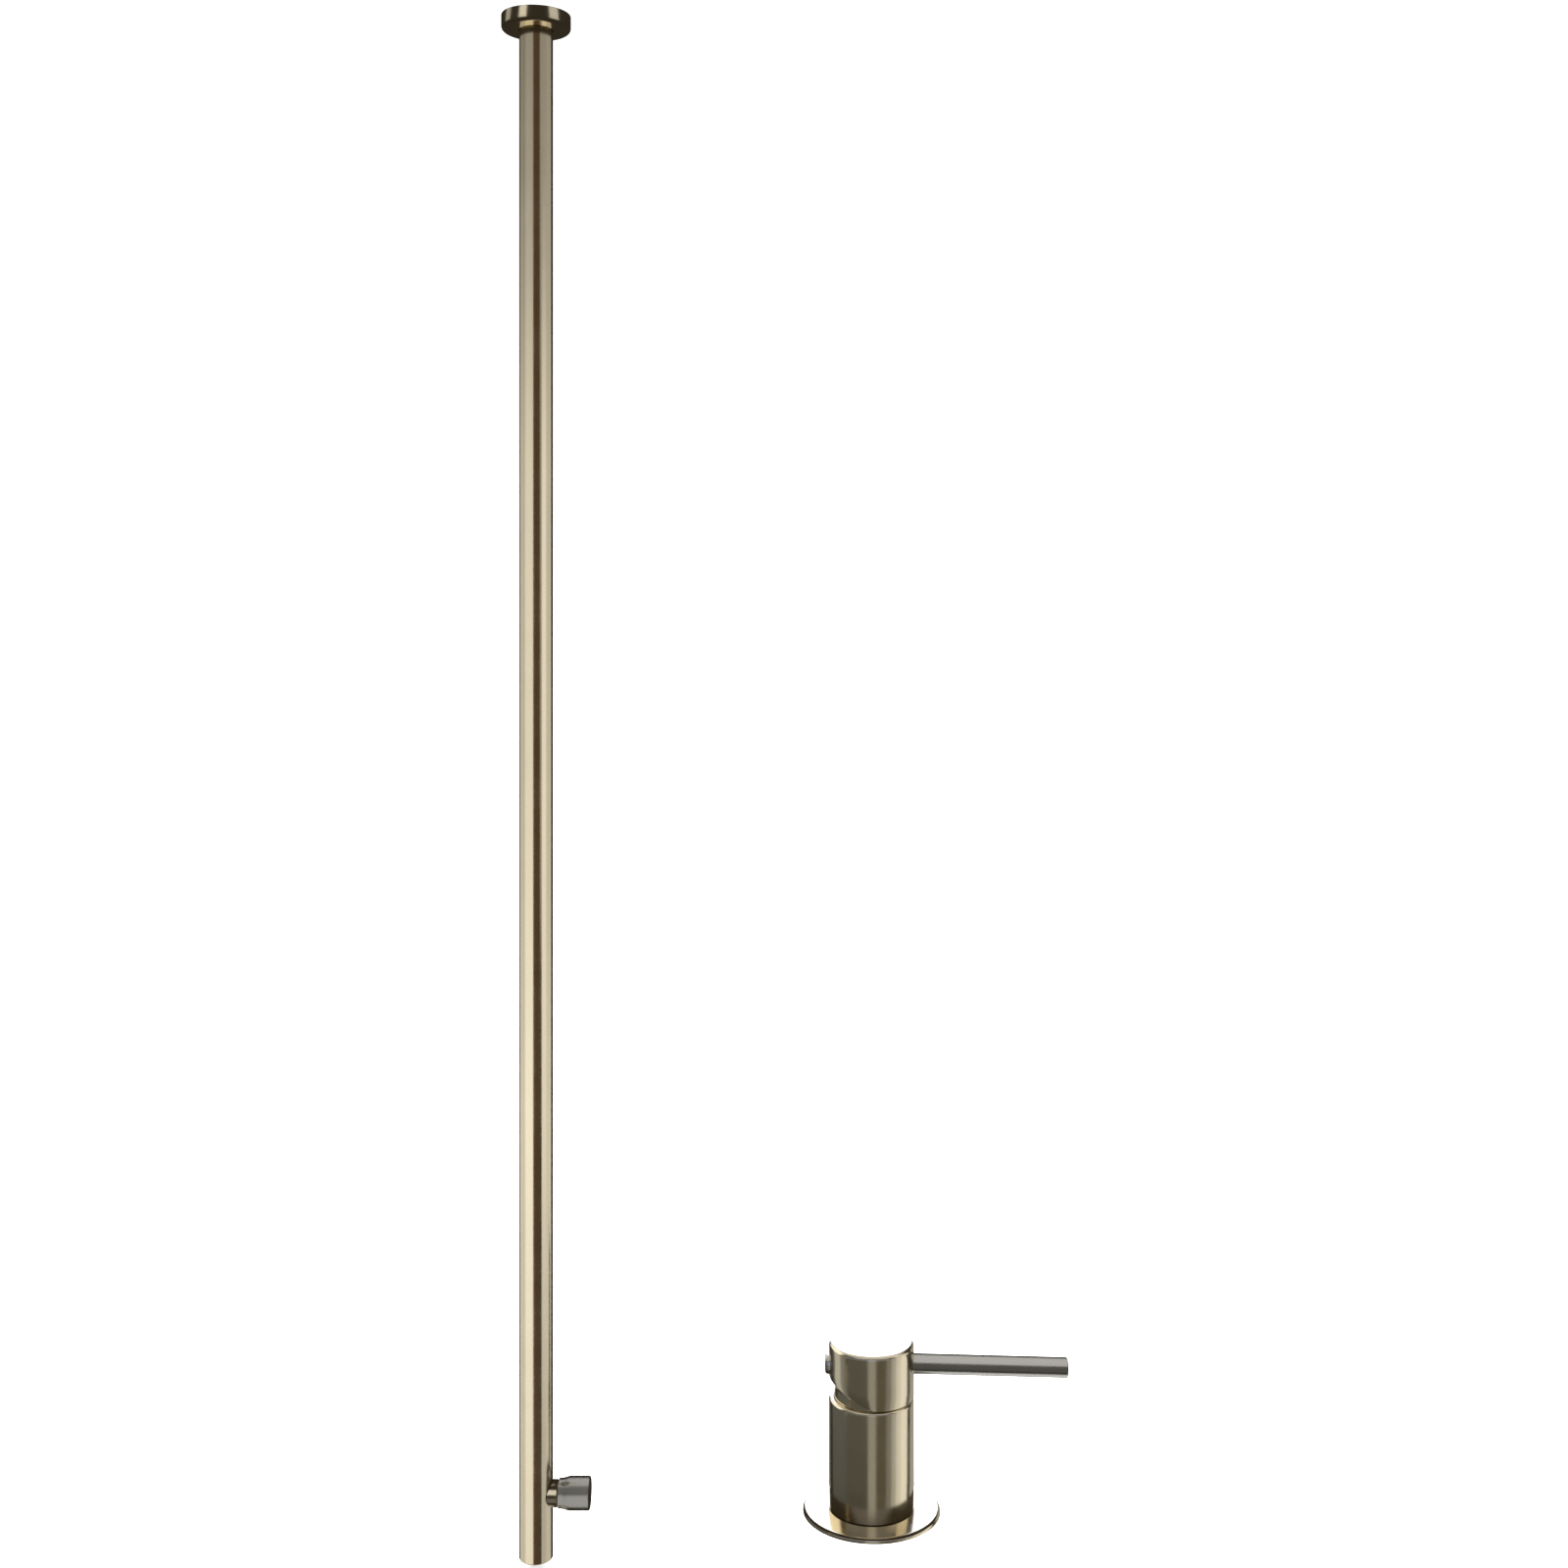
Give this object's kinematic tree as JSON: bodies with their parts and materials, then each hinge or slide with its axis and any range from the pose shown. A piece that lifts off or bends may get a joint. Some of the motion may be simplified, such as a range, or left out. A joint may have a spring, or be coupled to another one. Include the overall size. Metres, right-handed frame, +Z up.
{
  "type": "ceiling drop spout and deck mixer tap set",
  "caption": "Slim round spout hung from a ceiling rose, with a side knob near its mouth, and a round deck mixer with a pin lever.",
  "frame": {"origin": "centre of the ceiling face, on the spout's axis", "axes": "+Z up along the spout, +X right towards the knob and the lever, +Y away from the user"},
  "size_m": [0.3466, 0.1379, 0.98],
  "materials": {
    "champagne_metal": "polished champagne nickel plating",
    "nickel_metal": "satin, finely turned",
    "bare_brass": "machined",
    "steel": "machined",
    "black_rubber": "matt",
    "cartridge_plastic": "moulded",
    "seat_plastic": "turned, waxy",
    "disc_ceramic": "lapped"
  },
  "bodies": {
    "fixed": {"ceiling_flange": "bare_brass", "flange_grub_front": "steel", "flange_grub_back": "steel", "ceiling_rose": "champagne_metal", "rose_o_ring": "black_rubber", "inlet_adaptor": "bare_brass", "inlet_o_ring": "black_rubber", "inlet_strainer": "steel", "drop_pipe": "champagne_metal", "valve_body": "bare_brass", "valve_seat_upper": "seat_plastic", "valve_seat_lower": "seat_plastic", "seat_retainer": "bare_brass", "valve_gland": "bare_brass", "neck_saddle": "champagne_metal", "spindle_o_ring": "black_rubber", "outlet_housing": "nickel_metal", "outlet_washer": "black_rubber", "outlet_jet_disc": "cartridge_plastic", "base_plate": "champagne_metal", "base_gasket": "black_rubber", "mixer_body": "champagne_metal", "mounting_shank": "bare_brass", "backing_rubber": "black_rubber", "backing_washer": "steel", "shank_nut": "bare_brass", "cartridge_seal": "black_rubber", "cartridge_base": "cartridge_plastic", "fixed_disc": "disc_ceramic", "cartridge_housing": "cartridge_plastic", "cartridge_nut": "bare_brass", "trim_ring": "champagne_metal"},
    "knob": {"valve_knob": "nickel_metal", "knob_grub": "steel", "valve_spindle": "steel", "valve_ball": "steel"},
    "turn": {"turn_collar": "steel", "pivot_pin": "steel"},
    "disc": {"moving_disc": "disc_ceramic", "disc_carrier": "cartridge_plastic"},
    "lift": {"handle_cap": "champagne_metal", "lever_rod": "nickel_metal", "tail_screw": "nickel_metal", "cartridge_stem": "bare_brass"}
  },
  "joints": [
    {"name": "knob_turn", "type": "hinge", "parent": "fixed", "child": "knob", "pos_m": [0, 0, -0.874], "axis": [1, 0, 0], "range_deg": [0, 90]},
    {"name": "lever_turn", "type": "hinge", "parent": "fixed", "child": "turn", "pos_m": [0.202, 0.074, -0.8474], "axis": [0, 0, 1], "range_deg": [-45, 45]},
    {"name": "lever_lift", "type": "hinge", "parent": "turn", "child": "lift", "pos_m": [0.202, 0.074, -0.8474], "axis": [0, -1, 0], "range_deg": [0, 22]},
    {"name": "disc_slide", "type": "slide", "parent": "turn", "child": "disc", "axis": [1, 0, 0], "range_m": [0, 0.0044]}
  ],
  "couplings": [
    {"joint": "disc_slide", "follows": "lever_lift", "m_per_rad": 0.01122}
  ]
}
